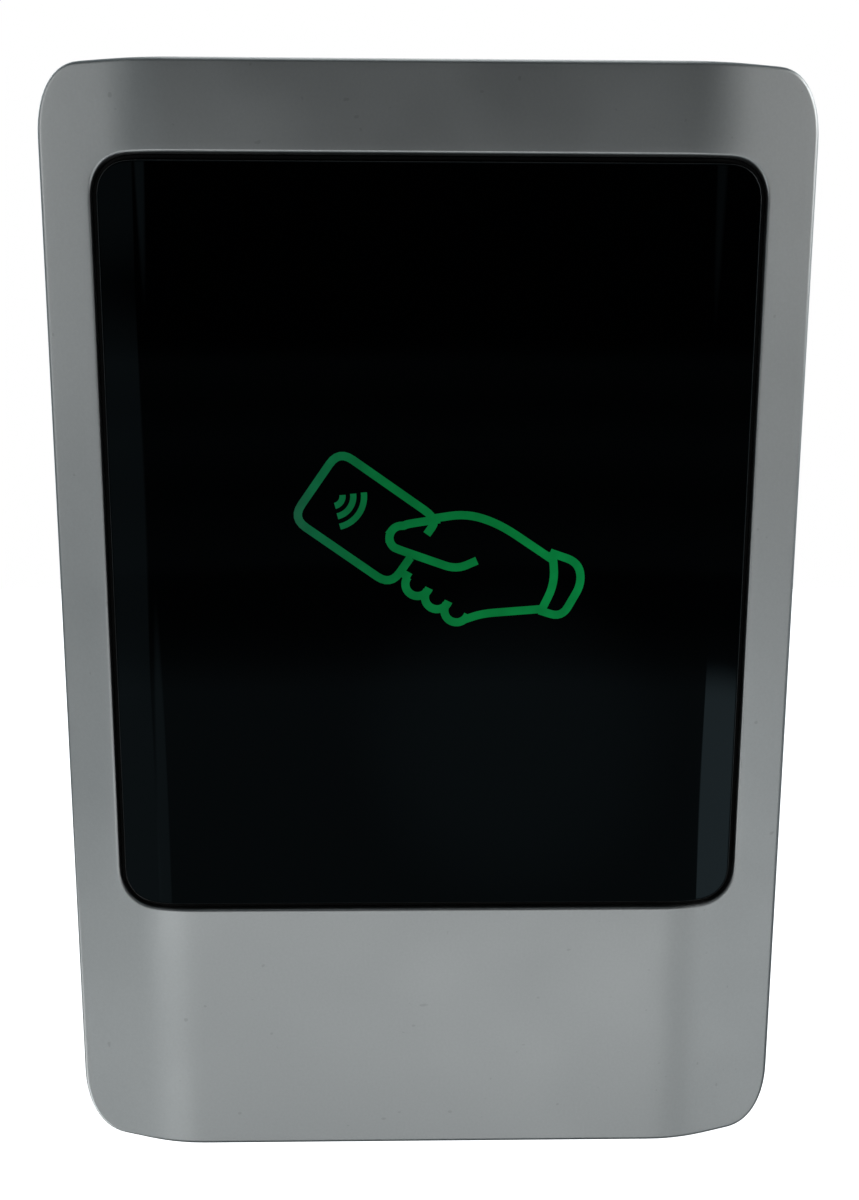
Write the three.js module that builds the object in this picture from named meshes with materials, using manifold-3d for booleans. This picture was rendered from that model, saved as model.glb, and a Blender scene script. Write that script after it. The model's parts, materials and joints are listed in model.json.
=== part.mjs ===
// Contactless ticket validator for a wall: a satin metal casing with a black wrap-round panel and
// a lit card pictogram, hinged at the top of a shallow rear housing and locked at the bottom.
// Units are millimetres. +Z is up, the front looks along -Y, and +X is to the right of a person
// who faces the front. The origin is the centre of the wall plate's back face.

import * as THREE from "three";
import { mergeVertices } from "three/addons/utils/BufferGeometryUtils.js";
import Module from "manifold-3d";

const wasm = await Module();
wasm.setup();

// ---- Driving dimensions ----

const WALL = 2.5; // every sheet-metal wall
const CLEAR = 0.3; // between pieces that touch
const THROUGH = 1; // how far a cutting tool runs past the piece

// Screws are plain bars, and their holes clear them.
const SCREW_R = 1.4;
const SCREW_HEAD_R = 3;
const SCREW_HEAD_T = 2.2;
const SCREW_HOLE_R = 1.7;
const HOUSING_SCREW_R = 2;
const HOUSING_HOLE_R = 2.4;
const BOSS_R = 3.5; // spacers on the sheet parts
const CASING_BOSS_R = 4;

// The face is flat in the middle and folded back at each side.
const FACE_Y = -84;
const FLAT_HALF = 67;
const FOLD = THREE.MathUtils.degToRad(19);
const CORNER_POWER = 2.3; // superellipse exponent: 2 is an ellipse, more is squarer
const EDGE_R = 1.2;
const FACE = { halfW: 93, top: 137, bottom: -137, corner: { x: 11.5, z: 17 } };
const WINDOW = { halfW: 80, top: 116, bottom: -70, corner: { x: 10, z: 10 } };
const PANEL_GAP = 1.6;
const PANEL_PROUD = 0.6;
const PANEL_T = 4;

// Depths, from the front to the wall.
const PANEL_FRONT_Y = FACE_Y - PANEL_PROUD;
const PANEL_BACK_Y = PANEL_FRONT_Y + PANEL_T;
const CASING_INNER_Y = FACE_Y + WALL;
const SEAL_BACK_Y = CASING_INNER_Y + 2.6;
const CARRIER_Y = [SEAL_BACK_Y + CLEAR, SEAL_BACK_Y + CLEAR + 2];
const READER_BOARD_Y = [CARRIER_Y[1] + 0.2, CARRIER_Y[1] + 1.8];
const TRAY_Y = [-64, -62.5];
const BOARD_Y = [-56, -54.4];
const CASING_END_Y = -39;
const FLANGE_Y = [-37.5, -35];
const HOUSING_BACK_Y = -2.8;
const HOUSING_FLOOR_Y = HOUSING_BACK_Y - WALL; // inner face of the housing's back wall
const PLATE_Y = [-2.5, 0];

// The housing's walls stand inside its flange.
const HOUSING = { halfW: 88, top: 132, bottom: -132, corner: { x: 8, z: 12 } };
const HOUSING_FLOOR_Z = HOUSING.bottom + WALL; // inner face of its bottom wall
const CARRIER = { halfW: 86, top: 130.5, bottom: -100, corner: { x: 8, z: 8 } };

const PICTOGRAM_AT = [1.7, 26];
const HINGE = { y: -37.5, z: 140.8, r: 3.6, boreR: 2.1, pinR: 1.8, xs: [-55, 55] };
const LOCK_AT = [0, -20];
const GLAND_AT = [-50, -20];
const VENT_AT = [50, -20];
const BUZZER_AT = [-53, -58];
const TAMPER_AT = [-40, -90];
const EARTH_AT = [45, -95];
const CAM_Z = [-109.2, -107.2];

function corners(halfX, [low, high]) {
  return [[-halfX, low], [halfX, low], [-halfX, high], [halfX, high]];
}
const CARRIER_SCREWS = corners(60, [-80, 125.5]);
const TRAY_SCREWS = corners(62, [-92, 86]);
const BOARD_SCREWS = corners(56, [-74, 54]);
const HOUSING_SCREWS = corners(45, [-70, 90]);
const WALL_HOLES = corners(62, [-102, 102]);

// ---- Materials ----

function material(colour, roughness, metalness) {
  return new THREE.MeshStandardMaterial({ color: colour, roughness, metalness });
}

const satinMetal = material(0x8f9494, 0.35, 0.9);
const blackPanel = material(0x050708, 0.05, 0.0);
const litGreen = material(0x0f8f3c, 0.2, 0.0);
const blackRubber = material(0x0b0b0b, 0.8, 0.0);
const darkCoat = material(0x2a2c2e, 0.6, 0.1);
const zincSteel = material(0xa4a7a8, 0.45, 0.9);
const screwSteel = material(0xb0b2b4, 0.3, 1.0);
const nickel = material(0xc4c2bc, 0.2, 1.0);
const circuitBoard = material(0x14532d, 0.5, 0.0);
const opalPlastic = material(0xe8ebe6, 0.5, 0.0);
const blackPlastic = material(0x151617, 0.5, 0.0);
const brass = material(0xb08d4a, 0.35, 1.0);

// ---- Solids ----

// A closed geometry as a solid that can be joined and cut.
function solid(geometry) {
  const bare = new THREE.BufferGeometry();
  bare.setAttribute("position", geometry.getAttribute("position"));
  if (geometry.index) bare.setIndex(geometry.index);
  const merged = mergeVertices(bare, 1e-4);
  return new wasm.Manifold(
    new wasm.Mesh({
      numProp: 3,
      vertProperties: new Float32Array(merged.attributes.position.array),
      triVerts: new Uint32Array(merged.index.array),
    }),
  );
}

function join(...solids) {
  return solids.reduce((all, next) => all.add(next));
}

function cut(body, ...tools) {
  return tools.reduce((rest, tool) => rest.subtract(tool), body);
}

// A box from its lowest to its highest corner.
function box([x0, y0, z0], [x1, y1, z1]) {
  const geometry = new THREE.BoxGeometry(x1 - x0, y1 - y0, z1 - z0);
  return solid(geometry.translate((x0 + x1) / 2, (y0 + y1) / 2, (z0 + z1) / 2));
}

// A round or many-sided bar along an axis, between two places on it. Its centre is given by the
// other two coordinates, in the order x, y, z. Another radius at the far end makes it a cone.
function bar(axis, r, from, to, [u, v], sides = 16, farR = r) {
  const [low, high] = from < to ? [from, to] : [to, from];
  const [lowR, highR] = from < to ? [r, farR] : [farR, r];
  const geometry = new THREE.CylinderGeometry(highR, lowR, high - low, sides);
  const middle = (low + high) / 2;
  if (axis === "x") geometry.rotateZ(-Math.PI / 2).translate(middle, u, v);
  if (axis === "y") geometry.translate(u, middle, v);
  if (axis === "z") geometry.rotateX(Math.PI / 2).translate(u, v, middle);
  return solid(geometry);
}

// A strip bent from sheet: an outline of [y, z] points, with a width along X.
function bentStrip(points, x0, x1) {
  const shape = new THREE.Shape(points.map(([y, z]) => new THREE.Vector2(y, z)));
  const geometry = new THREE.ExtrudeGeometry(shape, { depth: x1 - x0, bevelEnabled: false });
  // The shape's own X, Y and depth become Y, Z and X.
  const turn = new THREE.Matrix4().set(0, 0, 1, x0, 1, 0, 0, 0, 0, 1, 0, 0, 0, 0, 0, 1);
  return solid(geometry.applyMatrix4(turn));
}

// A screw along Y with its head under the seat and a hexagonal socket in the head.
function screw(at, seat, tip, size = {}) {
  const { headR = SCREW_HEAD_R, shankR = SCREW_R, headT = SCREW_HEAD_T } = size;
  const outward = Math.sign(seat - tip);
  const top = seat + outward * headT;
  return cut(
    join(bar("y", headR, seat, top, at, 12), bar("y", shankR, tip, seat + outward, at, 8)),
    bar("y", headR * 0.48, top - outward * headT * 0.6, top + outward, at, 6),
  );
}

// ---- Rounded outlines ----

// How far behind its flat centre the folded face lies at a given x.
function faceDepth(x) {
  return Math.max(0, Math.abs(x) - FLAT_HALF) * Math.tan(FOLD);
}

// The same outline, wider by a margin all round.
function grown({ halfW, top, bottom, corner }, margin) {
  return {
    halfW: halfW + margin,
    top: top + margin,
    bottom: bottom - margin,
    corner: { x: corner.x + margin, z: corner.z + margin },
  };
}

// The upper half of an outline as [x, drop below its top], left to right, with a point at each
// fold of the face.
function upperEdge({ halfW, corner }) {
  const steps = 6;
  const left = [];
  for (let i = 0; i <= steps; i++) {
    const turn = (i / steps) * (Math.PI / 2);
    const across = Math.cos(turn) ** (2 / CORNER_POWER);
    const up = Math.sin(turn) ** (2 / CORNER_POWER);
    left.push([-(halfW - corner.x) - corner.x * across, corner.z * (1 - up)]);
  }
  left.push([-FLAT_HALF, 0]);
  return [...left, ...left.map(([x, drop]) => [-x, drop]).reverse()];
}

// A closed solid through outlines listed from front to back. A folded one follows the face.
function rings(list) {
  const edges = list.map((ring) => upperEdge(ring));
  const half = edges[0].length;
  const size = 2 * half;
  const position = [];
  const index = [];
  list.forEach((ring, k) => {
    const depth = (x) => ring.y + (ring.folded ? faceDepth(x) : 0);
    edges[k].forEach(([x, drop]) => position.push(x, depth(x), ring.top - drop));
    [...edges[k]]
      .reverse()
      .forEach(([x, drop]) => position.push(x, depth(x), ring.bottom + drop));
  });
  for (let k = 0; k + 1 < list.length; k++) {
    for (let j = 0; j < size; j++) {
      const here = k * size + j;
      const next = k * size + ((j + 1) % size);
      index.push(here, next, next + size, here, next + size, here + size);
    }
  }
  const last = (list.length - 1) * size;
  for (let i = 0; i + 1 < half; i++) {
    const [tl, tr, br, bl] = [i, i + 1, size - 2 - i, size - 1 - i];
    index.push(bl, br, tr, bl, tr, tl);
    index.push(last + bl, last + tr, last + br, last + bl, last + tl, last + tr);
  }
  const geometry = new THREE.BufferGeometry();
  geometry.setAttribute("position", new THREE.Float32BufferAttribute(position, 3));
  geometry.setIndex(index);
  return solid(geometry);
}

// A plate with a rounded outline between two depths.
function plate(outline, [front, back], folded = false) {
  return rings([
    { ...outline, y: front, folded },
    { ...outline, y: back, folded },
  ]);
}

// ---- Cover: casing, panel and seal ----

function frontCasing() {
  const roundSteps = 3;
  const outside = [];
  for (let i = 0; i <= roundSteps; i++) {
    const turn = (i / roundSteps) * (Math.PI / 2);
    outside.push({
      ...grown(FACE, -EDGE_R * (1 - Math.sin(turn))),
      y: FACE_Y + EDGE_R * (1 - Math.cos(turn)),
      folded: true,
    });
  }
  outside.push({ ...FACE, y: CASING_END_Y, folded: false });
  const hollow = rings([
    { ...grown(FACE, -WALL), y: CASING_INNER_Y, folded: true },
    { ...grown(FACE, -WALL), y: CASING_END_Y + 1, folded: false },
  ]);
  const opening = plate(WINDOW, [FACE_Y - 5, CASING_INNER_Y + 15]);
  const bossEnd = CARRIER_Y[0] - CLEAR;
  const bosses = CARRIER_SCREWS.map((at) =>
    bar("y", CASING_BOSS_R, CASING_INNER_Y - 1, bossEnd, at),
  );
  const pilots = CARRIER_SCREWS.map((at) =>
    bar("y", SCREW_HOLE_R, CASING_INNER_Y - 0.5, bossEnd + THROUGH, at, 8),
  );
  return cut(
    join(cut(rings(outside), hollow, opening), ...bosses, ...strikeBosses()),
    ...pilots,
    ...strikePilots(),
    ...soundSlots(),
  );
}

// Slots under the buzzer, in the casing's floor.
function soundSlots() {
  const [slotW, pitch, count] = [2.4, 5, 5];
  const [x, y] = BUZZER_AT;
  const slots = [];
  for (let i = 0; i < count; i++) {
    const left = x + (i - (count - 1) / 2) * pitch - slotW / 2;
    const [low, high] = [FACE.bottom - 1, FACE.bottom + WALL + 1];
    slots.push(box([left, y - 8, low], [left + slotW, y + 8, high]));
  }
  return slots;
}

function frontPanel() {
  const outline = grown(WINDOW, -PANEL_GAP);
  const bevel = 0.5;
  return rings([
    { ...grown(outline, -bevel), y: PANEL_FRONT_Y, folded: true },
    { ...outline, y: PANEL_FRONT_Y + bevel, folded: true },
    { ...outline, y: PANEL_BACK_Y, folded: true },
  ]);
}

// Rubber frame behind the panel's rim, with a lip that fills the gap round it.
function panelSeal() {
  const [flangeMargin, lipSeat, rim] = [4, 1.2, 6];
  const outline = grown(WINDOW, -PANEL_GAP);
  const frame = plate(grown(WINDOW, flangeMargin), [CASING_INNER_Y + CLEAR, SEAL_BACK_Y], true);
  const lip = plate(grown(WINDOW, -CLEAR), [FACE_Y + lipSeat, CASING_INNER_Y + 1], true);
  const pocket = plate(grown(outline, CLEAR), [FACE_Y - 2, PANEL_BACK_Y + CLEAR], true);
  const opening = plate(grown(outline, -rim), [FACE_Y - 5, SEAL_BACK_Y + 15]);
  return cut(join(frame, lip), pocket, opening);
}

// ---- Cover: pictogram ----

// A line of constant width along [x, z] points, with square ends and mitred corners.
function stroke(points, width, [front, back]) {
  const path = points.map(([x, z]) => new THREE.Vector2(x, z));
  const last = path.length - 1;
  const side = (sign) =>
    path.map((point, i) => {
      const into = point.clone().sub(path[Math.max(i - 1, 0)]).normalize();
      const out = path[Math.min(i + 1, last)].clone().sub(point).normalize();
      const along = into.clone().add(out).normalize();
      const mitre = 1 / along.dot(i === 0 ? out : into);
      const across = new THREE.Vector2(-along.y, along.x);
      return point.clone().addScaledVector(across, (sign * width * mitre) / 2);
    });
  const shape = new THREE.Shape([...side(1), ...side(-1).reverse()]);
  const geometry = new THREE.ExtrudeGeometry(shape, { depth: back - front, bevelEnabled: false });
  return solid(geometry.rotateX(Math.PI / 2).translate(0, back, 0));
}

// Points on an arc about [x, z], between two angles in degrees.
function arc([x, z], r, from, to, steps = 4) {
  const points = [];
  for (let i = 0; i <= steps; i++) {
    const turn = THREE.MathUtils.degToRad(from + ((to - from) * i) / steps);
    points.push([x + r * Math.cos(turn), z + r * Math.sin(turn)]);
  }
  return points;
}

// A tilted card held by a hand, in lines of one width, raised a little from the panel.
function cardPictogram() {
  const width = 2;
  const tilt = THREE.MathUtils.degToRad(-35);
  const card = { x: -15.8, z: 31.3, halfLength: 14.5, halfWidth: 10, r: 3 };
  const [u, v] = [card.halfLength - card.r, card.halfWidth - card.r];
  const onCard = ([along, across]) => [
    card.x + along * Math.cos(tilt) - across * Math.sin(tilt),
    card.z + along * Math.sin(tilt) + across * Math.cos(tilt),
  ];
  const cardLine = [
    [card.halfLength, -1.5],
    ...arc([u, -v], card.r, 0, -90),
    ...arc([-u, -v], card.r, 270, 180),
    ...arc([-u, v], card.r, 180, 90),
    ...arc([u, v], card.r, 90, 0),
    [card.halfLength, 5.5],
  ].map(onCard);
  const fingertips = [[-3, 15.2], [1.8, 11.9], [6.6, 8.6]].map((at) => arc(at, 3, 145, 340));
  const lines = [
    cardLine,
    ...fingertips,
    [[1, 31.4], [9, 32.6], [17, 30], [30.4, 21]],
    [[2.4, 31.2], [-5.6, 30], ...arc([-6.9, 26.6], 3, 80, 240), [6.5, 18.8], [11.5, 21]],
    [[-8, 18.6], [-4.8, 16.8]],
    [[8.8, 6.4], [13, 7.8], [28.4, 9]],
    [[29.4, 23], [36.4, 20.6], [37.4, 15.4], [32.6, 6.8], [27, 8.6]],
    [[27.2, 7.9], [30.8, 15.4], [30, 23.2]],
  ];
  const depths = [PANEL_FRONT_Y - 0.35, PANEL_FRONT_Y - 0.1];
  return join(...lines.map((points) => stroke(points, width, depths)));
}

// ---- Cover: light, reader and electronics ----

// A board centred on the pictogram.
function readerPiece(halfX, halfZ, [front, back]) {
  const [x, z] = PICTOGRAM_AT;
  return box([x - halfX, front, z - halfZ], [x + halfX, back, z + halfZ]);
}

const LIGHT_GUIDE = { half: [40, 25], y: [PANEL_BACK_Y + CLEAR, PANEL_BACK_Y + 2.8] };

function ledBoard() {
  const [x, z] = PICTOGRAM_AT;
  const leds = [];
  for (const dx of [-30, -10, 10, 30]) {
    for (const dz of [-15, 0, 15]) {
      const [ledX, ledZ] = [x + dx, z + dz];
      const [front, back] = [LIGHT_GUIDE.y[1] + 0.2, READER_BOARD_Y[0] + 0.5];
      leds.push(box([ledX - 1.75, front, ledZ - 1.4], [ledX + 1.75, back, ledZ + 1.4]));
    }
  }
  return join(readerPiece(42, 27, READER_BOARD_Y), ...leds);
}

function antennaBoard() {
  return cut(readerPiece(65, 50, READER_BOARD_Y), readerPiece(45, 30, [-90, -60]));
}

function ferriteSheet() {
  const front = READER_BOARD_Y[1] + 0.2;
  return readerPiece(64, 49, [front, front + 0.8]);
}

// The pressed frame that clamps the seal and the panel against the casing.
function carrierFrame() {
  const [end, pilotDepth] = [TRAY_Y[0], 8];
  const bosses = TRAY_SCREWS.map((at) =>
    bar("y", BOSS_R, CARRIER_Y[1] - 0.5, end - CLEAR, at, 16),
  );
  const holes = CARRIER_SCREWS.map((at) => bar("y", SCREW_HOLE_R, -90, -60, at, 8));
  const pilots = TRAY_SCREWS.map((at) =>
    bar("y", SCREW_HOLE_R, end - pilotDepth, end + THROUGH, at, 8),
  );
  return cut(
    join(plate(CARRIER, CARRIER_Y, true), ...bosses),
    readerPiece(50, 35, [-90, -70]),
    ...holes,
    ...pilots,
  );
}

function carrierScrew(at) {
  return screw(at, CARRIER_Y[1] + CLEAR, CASING_INNER_Y);
}

// The tray that holds the main board. Its long peg presses the tamper switch.
const TAMPER_PEG_END_Y = -30;
function boardTray() {
  const [front, back] = TRAY_Y;
  const bosses = BOARD_SCREWS.map((at) =>
    bar("y", BOSS_R, back - 0.5, BOARD_Y[0] - CLEAR, at, 16),
  );
  const pilots = BOARD_SCREWS.map((at) =>
    bar("y", SCREW_HOLE_R, front + 0.6, BOARD_Y[0] + THROUGH, at, 8),
  );
  const holes = TRAY_SCREWS.map((at) =>
    bar("y", SCREW_HOLE_R, front - THROUGH, back + THROUGH, at, 8),
  );
  const peg = bar("y", 4, back - 0.5, TAMPER_PEG_END_Y, TAMPER_AT, 16);
  return cut(
    join(box([-74, front, -98], [74, back, 92]), ...bosses, peg),
    ...pilots,
    ...holes,
  );
}

function trayScrew(at) {
  return screw(at, TRAY_Y[1] + CLEAR, TRAY_Y[0] - 6);
}

function boardScrew(at) {
  return screw(at, BOARD_Y[1] + CLEAR, BOARD_Y[0] - 5);
}

const PART_SEAT_Y = BOARD_Y[1] + CLEAR; // parts plugged on the back of the main board

function mainBoard() {
  const [front, back] = BOARD_Y;
  const seat = back - 0.5;
  const holes = BOARD_SCREWS.map((at) =>
    bar("y", SCREW_HOLE_R, front - THROUGH, back + THROUGH, at, 8),
  );
  const capacitors = [-6, 6, 18].map((x) => bar("y", 4, seat, back + 8, [x, -40], 14));
  return join(
    cut(box([-62, front, -80], [62, back, 60]), ...holes),
    box([-22, seat, -8], [16, back + 3, 30]), // shield can over the processor
    box([-50, seat, -30], [-24, back + 2.5, -14]), // card socket of the secure module
    box([-40, seat, 48], [0, back + 5, 56]), // header for the reader's cable
    ...capacitors,
  );
}

function modemModule() {
  return join(
    box([24, PART_SEAT_Y, -34], [54, PART_SEAT_Y + 1.2, 14]),
    box([27, PART_SEAT_Y + 1, -30], [51, PART_SEAT_Y + 3.4, 2]),
  );
}

function backupCell() {
  return bar("y", 10, PART_SEAT_Y, PART_SEAT_Y + 4, [-42, 22], 20);
}

function terminalBlock() {
  const [left, pitch, ways] = [-48, 6.5, 6];
  const right = left + pitch * ways;
  const block = box([left, PART_SEAT_Y, -76], [right, PART_SEAT_Y + 10, -64]);
  const wells = [];
  for (let i = 0; i < ways; i++) {
    const x = left + pitch * (i + 0.5);
    wells.push(bar("y", 2, PART_SEAT_Y + 5, PART_SEAT_Y + 11, [x, -69], 10));
    wells.push(box([x - 1.8, PART_SEAT_Y + 2, -77], [x + 1.8, PART_SEAT_Y + 5.6, -71]));
  }
  return cut(block, ...wells);
}

const JACK = { x: [14, 31], z: [-79, -61], height: 13, wall: 2, portDepth: 14 };
function networkJack() {
  const { x, z, height, wall, portDepth } = JACK;
  return cut(
    box([x[0], PART_SEAT_Y, z[0]], [x[1], PART_SEAT_Y + height, z[1]]),
    box(
      [x[0] + wall, PART_SEAT_Y + wall, z[0] - 1],
      [x[1] - wall, PART_SEAT_Y + height - wall, z[0] + portDepth],
    ),
  );
}

function buzzer() {
  const seat = FACE.bottom + WALL + CLEAR;
  return cut(
    join(
      bar("z", 9.5, seat, seat + 2.5, BUZZER_AT, 20),
      bar("z", 8.5, seat + 2, seat + 11, BUZZER_AT, 20),
    ),
    bar("z", 5, seat - THROUGH, seat + 8, BUZZER_AT, 12),
  );
}

// ---- Cover: lock strike ----

// A bent strip from the casing's floor to a lip that hangs behind the turned cam.
const STRIKE = {
  x: [12, 24],
  t: 1.5,
  seatZ: FACE.bottom + WALL + 4,
  footY: [-72, -50],
  armZ: CAM_Z[1] + 1.7,
  lipY: -15.8,
  lipZ: CAM_Z[0] - 3,
};
const STRIKE_SCREW_AT = [-68, -56].map((y) => [(STRIKE.x[0] + STRIKE.x[1]) / 2, y]);

function strikeBosses() {
  const floor = FACE.bottom + WALL;
  return STRIKE_SCREW_AT.map((at) => bar("z", CASING_BOSS_R, floor - 1, STRIKE.seatZ, at, 16));
}

function strikePilots() {
  const { seatZ } = STRIKE;
  return STRIKE_SCREW_AT.map((at) =>
    bar("z", SCREW_HOLE_R, seatZ - 4, seatZ + THROUGH, at, 8),
  );
}

function lockStrike() {
  const { x, t, seatZ, footY, armZ, lipY, lipZ } = STRIKE;
  const low = seatZ + CLEAR;
  const profile = [
    [footY[0], low],
    [footY[1], low],
    [footY[1], armZ],
    [lipY, armZ],
    [lipY, lipZ],
    [lipY + t, lipZ],
    [lipY + t, armZ + t],
    [footY[1] - t, armZ + t],
    [footY[1] - t, low + t],
    [footY[0], low + t],
  ];
  const holes = STRIKE_SCREW_AT.map((at) => bar("z", 1.8, low - THROUGH, low + t + THROUGH, at, 8));
  return cut(bentStrip(profile, x[0], x[1]), ...holes);
}

function strikeScrew(at) {
  const seat = STRIKE.seatZ + 2 * CLEAR + STRIKE.t;
  return cut(
    join(
      bar("z", SCREW_HEAD_R, seat, seat + SCREW_HEAD_T, at, 12),
      bar("z", SCREW_R, seat - 5, seat + 1, at, 8),
    ),
    bar("z", 1.4, seat + 0.9, seat + 3, at, 6), // hexagonal socket
  );
}

// ---- Hinges ----

const KNUCKLE = { centre: 6, end: 18, gap: 0.2 };

function knuckle(x0, x1) {
  return bar("x", HINGE.r, x0, x1, [HINGE.y, HINGE.z], 20);
}

function hingeBore(x) {
  return bar("x", HINGE.boreR, x - 30, x + 30, [HINGE.y, HINGE.z], 20);
}

// Leaf on top of the casing, with the two outer knuckles.
function coverHingeLeaf(x) {
  const { centre, end, gap } = KNUCKLE;
  const low = HINGE.z - HINGE.r;
  const leaf = box([x - end, HINGE.y - 24, low], [x + end, HINGE.y, low + 1.5]);
  const inner = centre + gap;
  const notch = box(
    [x - inner, HINGE.y - HINGE.r - 0.8, low - THROUGH],
    [x + inner, HINGE.y + THROUGH, low + 3],
  );
  return cut(
    join(cut(leaf, notch), knuckle(x - end, x - inner), knuckle(x + inner, x + end)),
    hingeBore(x),
  );
}

// Leaf on top of the housing, bent up behind the flange, with the centre knuckle.
function baseHingeLeaf(x) {
  const { centre, end } = KNUCKLE;
  const front = FLANGE_Y[1] + CLEAR;
  const low = HOUSING.top + 0.2;
  const t = 1.5;
  return cut(
    join(
      box([x - end, front, low], [x + end, front + 16, low + t]),
      box([x - end, front, low], [x + end, front + t, FACE.top - 0.4]),
      box([x - centre, front, low], [x + centre, front + t, HINGE.z]),
      knuckle(x - centre, x + centre),
    ),
    hingeBore(x),
  );
}

function hingePin(x) {
  const { end } = KNUCKLE;
  const axis = [HINGE.y, HINGE.z];
  return join(
    bar("x", HINGE.pinR, x - end - 0.8, x + end + 0.8, axis, 16),
    bar("x", HINGE.r - 0.6, x + end + 0.3, x + end + 1.8, axis, 16),
  );
}

// ---- Base: wall plate and housing ----

function wallPlate() {
  const [front, back] = PLATE_Y;
  const body = box([-75, front, -115], [75, back, 115]);
  const holes = WALL_HOLES.flatMap((at) => [
    bar("y", 3.5, front - 1, back + 1, at, 16),
    bar("y", 7.6, front - 0.5, back - 0.6, at, 16, 3), // countersink
  ]);
  const threads = HOUSING_SCREWS.map((at) =>
    bar("y", HOUSING_HOLE_R, front - THROUGH, back + THROUGH, at, 8),
  );
  return cut(body, ...holes, ...threads);
}

function rearHousing() {
  const shell = cut(
    join(plate(FACE, FLANGE_Y), plate(HOUSING, [FLANGE_Y[0] + 1, HOUSING_BACK_Y])),
    plate(grown(HOUSING, -WALL), [FLANGE_Y[0] - 1, HOUSING_FLOOR_Y]),
  );
  const [low, high] = [HOUSING.bottom - 1, HOUSING_FLOOR_Z + 1];
  return cut(
    shell,
    bar("z", GLAND.threadR + CLEAR, low, high, GLAND_AT, 20),
    bar("z", LOCK.barrelR + CLEAR, low, high, LOCK_AT, 20),
    bar("z", VENT_R + CLEAR, low, high, VENT_AT, 20),
    ...HOUSING_SCREWS.map((at) =>
      bar("y", HOUSING_HOLE_R, HOUSING_FLOOR_Y - THROUGH, HOUSING_BACK_Y + THROUGH, at, 12),
    ),
  );
}

function housingSeal() {
  const depths = [CASING_END_Y + 0.2, FLANGE_Y[0] - 0.2];
  return cut(plate(grown(FACE, -0.6), depths), plate(grown(FACE, -4.6), [-50, -30]));
}

function housingScrew(at) {
  return screw(at, HOUSING_FLOOR_Y - CLEAR, PLATE_Y[1] - 0.3, {
    headR: 4.5,
    shankR: HOUSING_SCREW_R,
    headT: 3,
  });
}

// ---- Base: cable gland and vent ----

const GLAND = { threadR: 10, boreR: 6, collarR: 13.5, lowerR: 9.5, endZ: -146 };
const VENT_R = 6;

function glandBody() {
  const collarTop = HOUSING.bottom - CLEAR;
  const collarEnd = collarTop - 5.2;
  return cut(
    join(
      bar("z", GLAND.threadR, collarTop - 1, HOUSING_FLOOR_Z + 8.5, GLAND_AT, 20),
      bar("z", GLAND.collarR, collarEnd, collarTop, GLAND_AT, 6),
      bar("z", GLAND.lowerR, GLAND.endZ, collarEnd + 1, GLAND_AT, 20),
    ),
    bar("z", GLAND.boreR, GLAND.endZ - 1, HOUSING_FLOOR_Z + 10, GLAND_AT, 20),
  );
}

function glandNut() {
  const seat = HOUSING_FLOOR_Z + CLEAR;
  return cut(
    bar("z", 13.8, seat, seat + 4.5, GLAND_AT, 6),
    bar("z", GLAND.threadR + 0.2, seat - 1, seat + 6, GLAND_AT, 20),
  );
}

function glandCap() {
  const [top, shoulder, end] = [-138, GLAND.endZ - 0.5, -156];
  return cut(
    join(
      bar("z", 12.6, shoulder - 2, top, GLAND_AT, 12),
      bar("z", 12.6, shoulder - 2, end, GLAND_AT, 12, 9),
    ),
    bar("z", GLAND.lowerR + CLEAR, shoulder, top + 1, GLAND_AT, 20),
    bar("z", GLAND.boreR, end - 1, shoulder + 1, GLAND_AT, 20),
  );
}

function ventPlug() {
  const seat = HOUSING.bottom - CLEAR;
  return cut(
    join(
      bar("z", VENT_R, seat - 1, HOUSING_FLOOR_Z + 3, VENT_AT, 20),
      bar("z", 8.5, seat - 2.4, seat, VENT_AT, 6),
    ),
    bar("z", 2.5, seat, HOUSING_FLOOR_Z + 4, VENT_AT, 12),
  );
}

// ---- Base: lock ----

const LOCK = { barrelR: 9, plugR: 6, faceZ: -134.4, topZ: -109.8, squareHalf: 3 };

function lockBarrel() {
  const seat = HOUSING.bottom - CLEAR;
  return cut(
    join(
      bar("z", LOCK.barrelR, seat - 1, LOCK.topZ, LOCK_AT, 20),
      bar("z", 11, LOCK.faceZ, seat, LOCK_AT, 20),
    ),
    bar("z", LOCK.plugR + 0.2, LOCK.faceZ - 1, LOCK.topZ + 1, LOCK_AT, 20),
  );
}

function lockNut() {
  const seat = HOUSING_FLOOR_Z + CLEAR;
  return cut(
    bar("z", 13, seat, seat + 4, LOCK_AT, 6),
    bar("z", LOCK.barrelR + 0.2, seat - 1, seat + 5, LOCK_AT, 20),
  );
}

function lockPlug() {
  const [x, y] = LOCK_AT;
  const { plugR, faceZ, topZ, squareHalf } = LOCK;
  const round = bar("z", plugR, faceZ + 0.3, topZ + CLEAR, LOCK_AT, 20);
  const drive = box(
    [x - squareHalf, y - squareHalf, topZ - 1],
    [x + squareHalf, y + squareHalf, CAM_Z[1] - 0.2],
  );
  return cut(
    join(round, drive),
    box([x - 0.8, y - 4, faceZ - 1], [x + 0.8, y + 4, faceZ + 8]), // keyway
    bar("z", SCREW_HOLE_R, CAM_Z[1] - 10, CAM_Z[1] + THROUGH, LOCK_AT, 10),
  );
}

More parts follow.
